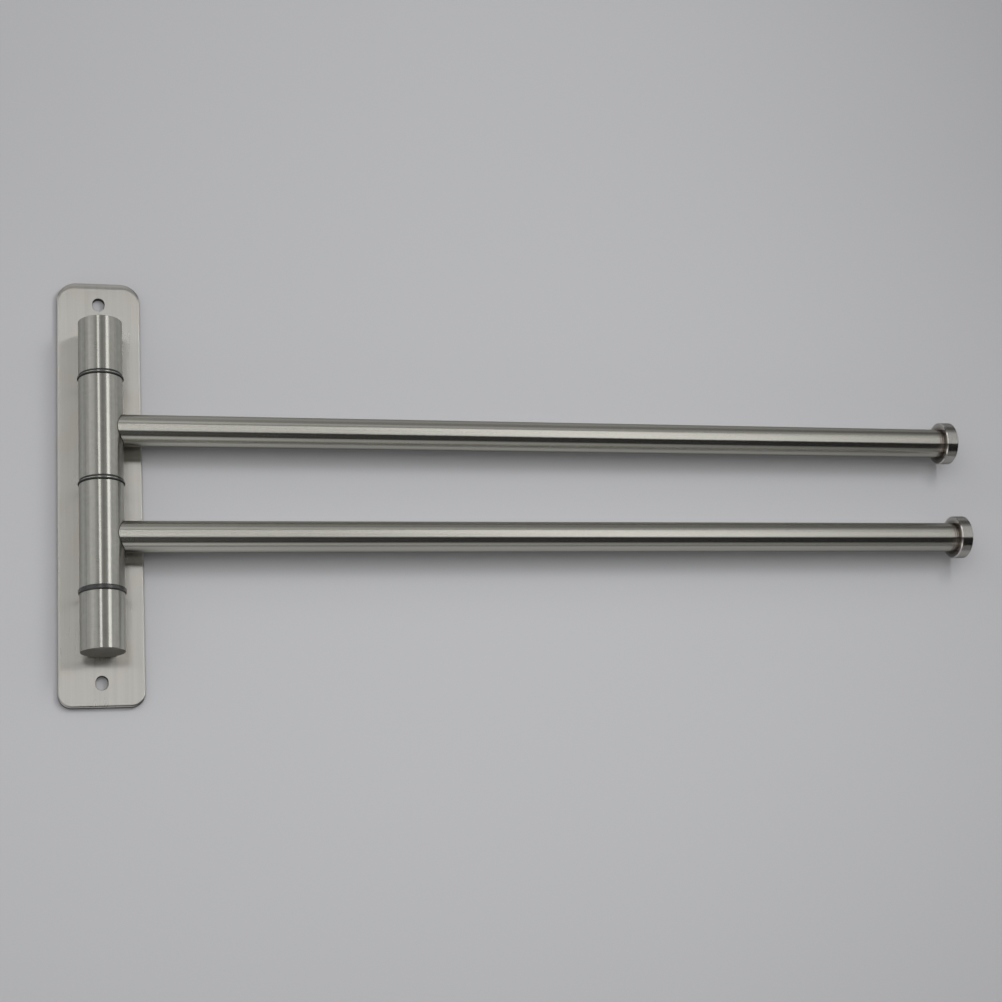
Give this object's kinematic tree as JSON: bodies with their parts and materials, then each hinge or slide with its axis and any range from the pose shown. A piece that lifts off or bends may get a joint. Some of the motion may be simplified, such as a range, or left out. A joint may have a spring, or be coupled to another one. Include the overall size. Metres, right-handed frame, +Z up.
{
  "type": "swing-arm towel rack",
  "caption": "Wall-mounted towel rack in brushed steel: round bars with disc ends swing on sleeves about a fixed column in front of a flat screw-on plate.",
  "frame": {"origin": "middle of the back plate's rear face, where it lies on the wall", "axes": "+Z up along the column, +X along the bars at rest, +Y into the wall, so the room is on the -Y side"},
  "size_m": [0.496, 0.0272, 0.224],
  "materials": {
    "plate_steel": "fine satin, brushed along its height",
    "column_steel": "brushed along its height",
    "bar_steel": "brushed along its length, heat tint by the cap",
    "cap_steel": "turned rim",
    "turned_steel": "turned, bright",
    "screw_steel": "zinc plated",
    "black_nylon": "matt black",
    "black_rubber": "matt black",
    "white_nylon": "natural nylon"
  },
  "bodies": {
    "bracket": {"back_plate": "plate_steel", "upper_post": "column_steel", "lower_post": "column_steel", "upper_post_saddle": "column_steel", "lower_post_saddle": "column_steel", "upper_post_screw": "screw_steel", "lower_post_screw": "screw_steel", "spindle": "turned_steel", "top_lower_nylon_washer": "black_nylon", "top_steel_washer": "turned_steel", "top_upper_nylon_washer": "black_nylon", "middle_lower_nylon_washer": "black_nylon", "middle_steel_washer": "turned_steel", "middle_upper_nylon_washer": "black_nylon", "bottom_friction_washer": "black_rubber"},
    "upper_arm": {"upper_sleeve": "column_steel", "upper_sleeve_top_bush": "white_nylon", "upper_sleeve_bottom_bush": "white_nylon", "upper_bar": "bar_steel", "upper_end_cap": "cap_steel"},
    "lower_arm": {"lower_sleeve": "column_steel", "lower_sleeve_top_bush": "white_nylon", "lower_sleeve_bottom_bush": "white_nylon", "lower_bar": "bar_steel", "lower_end_cap": "cap_steel"}
  },
  "joints": [
    {"name": "upper_arm_swing", "type": "hinge", "parent": "bracket", "child": "upper_arm", "pos_m": [0, -0.0155, 0.02645], "axis": [0, 0, -1], "range_deg": [0, 180]},
    {"name": "lower_arm_swing", "type": "hinge", "parent": "bracket", "child": "lower_arm", "pos_m": [0, -0.0155, -0.02935], "axis": [0, 0, -1], "range_deg": [0, 180]}
  ]
}
